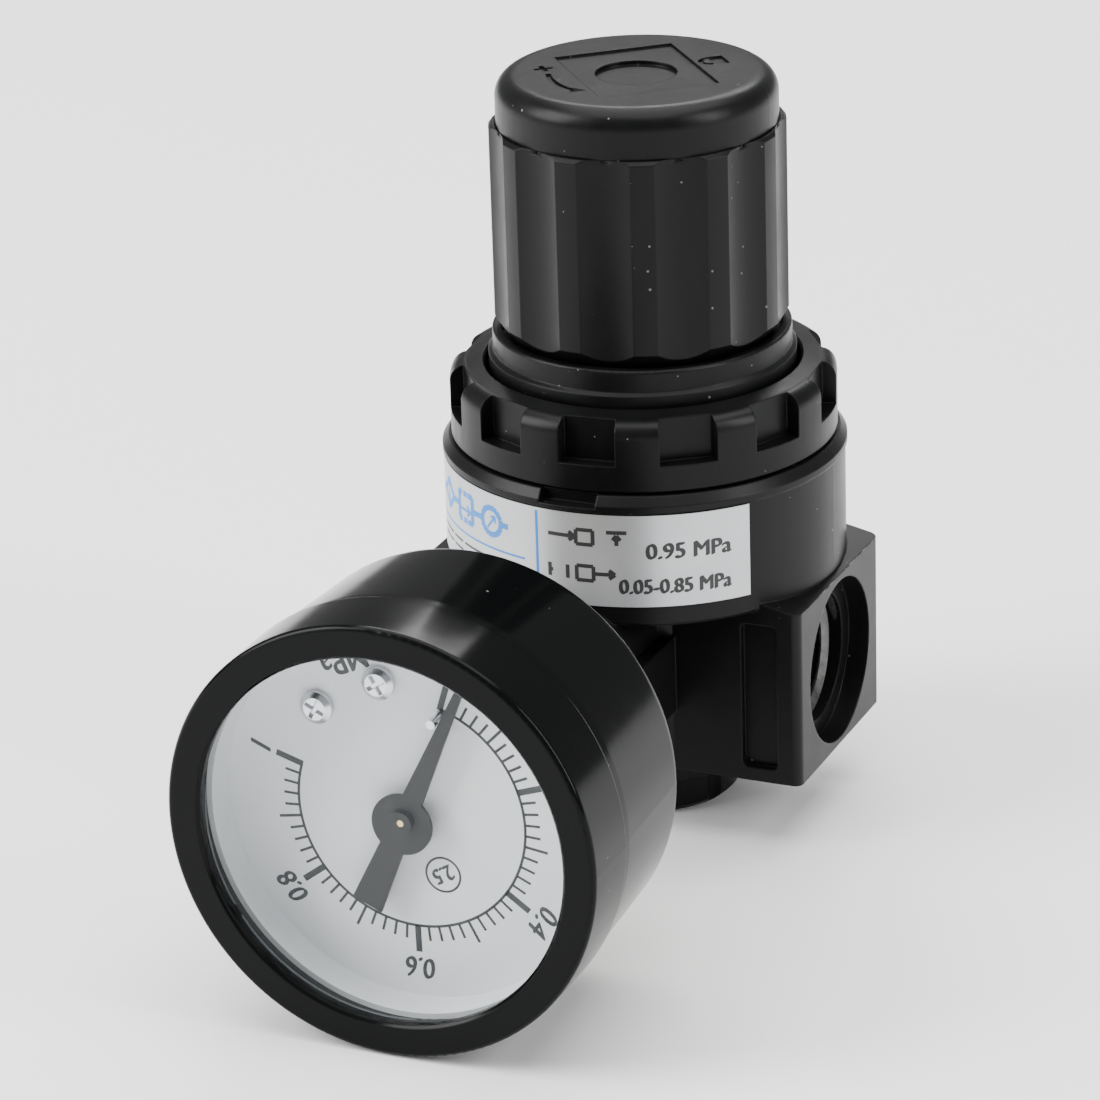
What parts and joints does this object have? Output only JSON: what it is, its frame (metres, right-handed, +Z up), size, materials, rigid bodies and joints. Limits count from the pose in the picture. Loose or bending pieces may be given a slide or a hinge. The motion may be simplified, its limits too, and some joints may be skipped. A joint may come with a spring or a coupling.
{
  "type": "air pressure regulator",
  "caption": "Small air pressure regulator with a ribbed push-lock knob on a round body, threaded ports in a cross bar and a round dial gauge on a stem in front.",
  "frame": {"origin": "centre of the bottom plug's face, on the knob's axis", "axes": "+Z up along the knob axis, +X towards the outlet port, -Y towards the gauge's dial"},
  "size_m": [0.0426, 0.0849, 0.0755],
  "materials": {
    "body_enamel": "satin black enamel on a die-cast body",
    "black_nylon": "semi-gloss black moulded nylon",
    "gauge_enamel": "glossy black stoved enamel on pressed steel",
    "label_foil": "silver printed foil",
    "zinc_steel": "bright zinc-plated steel",
    "brass": "machined brass",
    "rubber": "matt black nitrile rubber",
    "white_seal": "matt white plastic",
    "clear_window": "clear polished acrylic",
    "dial_white": "printed matt white dial",
    "pointer_black": "matt black pointer paint"
  },
  "bodies": {
    "regulator": {"body": "body_enamel", "label": "label_foil", "lock_ring": "black_nylon", "bonnet": "black_nylon", "bottom_plug": "black_nylon", "plug_o_ring": "rubber", "valve_spring": "zinc_steel", "diaphragm": "rubber", "adjusting_spring": "zinc_steel", "thrust_washer": "brass", "detent_ring": "rubber", "rear_plug": "zinc_steel", "rear_plug_seal": "white_seal", "stem_seal": "white_seal", "gauge_stem": "brass", "gauge_case": "gauge_enamel", "gauge_bezel": "gauge_enamel", "gauge_window": "clear_window", "window_gasket": "rubber", "dial_spacer": "white_seal", "dial": "dial_white", "dial_screws": "zinc_steel", "dial_posts": "brass", "stop_pin": "zinc_steel", "movement_back_plate": "brass", "movement_front_plate": "brass", "movement_pillars": "brass", "hairspring": "zinc_steel", "bourdon_tube": "brass", "tube_tip": "brass"},
    "screw": {"adjusting_screw": "zinc_steel"},
    "grip": {"knob": "black_nylon", "knob_cap": "black_nylon"},
    "nut": {"spring_nut": "brass"},
    "diaphragm_centre": {"spring_seat": "zinc_steel", "relief_seat": "brass"},
    "valve": {"valve_poppet": "brass", "valve_seal": "rubber"},
    "pointer_spindle": {"pointer": "pointer_black", "pinion_shaft": "brass"},
    "sector": {"sector_gear": "brass", "sector_arbor": "zinc_steel"},
    "tube_link": {"link": "brass"}
  },
  "joints": [
    {"name": "knob_turn", "type": "hinge", "parent": "regulator", "child": "screw", "pos_m": [0, 0, 0.06], "axis": [0, 0, -1], "range_deg": [0, 2160.5]},
    {"name": "knob_pull", "type": "slide", "parent": "screw", "child": "grip", "axis": [0, 0, 1], "range_m": [0, 0.0025]},
    {"name": "nut_travel", "type": "slide", "parent": "regulator", "child": "nut", "axis": [0, 0, -1], "range_m": [0, 0.0075], "deforming": ["adjusting_spring"]},
    {"name": "diaphragm_stroke", "type": "slide", "parent": "regulator", "child": "diaphragm_centre", "axis": [0, 0, -1], "range_m": [0, 0.0009], "stiffness_N_per_m": 300, "springref_m": -0.002, "deforming": ["diaphragm"]},
    {"name": "valve_stroke", "type": "slide", "parent": "regulator", "child": "valve", "axis": [0, 0, -1], "range_m": [0, 0.0009], "deforming": ["valve_spring"]},
    {"name": "pointer_turn", "type": "hinge", "parent": "regulator", "child": "pointer_spindle", "pos_m": [0, 0, 0.0214], "axis": [0, 1, 0], "range_deg": [0, 264], "stiffness_Nm_per_rad": 0.000002, "springref_deg": -114.59},
    {"name": "sector_turn", "type": "hinge", "parent": "regulator", "child": "sector", "pos_m": [-0.00846, 0, 0.01832], "axis": [0, 1, 0], "range_deg": [-34, 0]},
    {"name": "link_swing", "type": "hinge", "parent": "sector", "child": "tube_link", "pos_m": [-0.00983, 0, 0.02208], "axis": [0, 1, 0], "range_deg": [0, 34]}
  ],
  "couplings": [
    {"joint": "knob_turn", "follows": "nut_travel", "rad_per_m": 5026.5},
    {"joint": "valve_stroke", "follows": "diaphragm_stroke", "ratio": 1},
    {"joint": "sector_turn", "follows": "pointer_turn", "ratio": -0.125},
    {"joint": "link_swing", "follows": "pointer_turn", "ratio": 0.125}
  ]
}
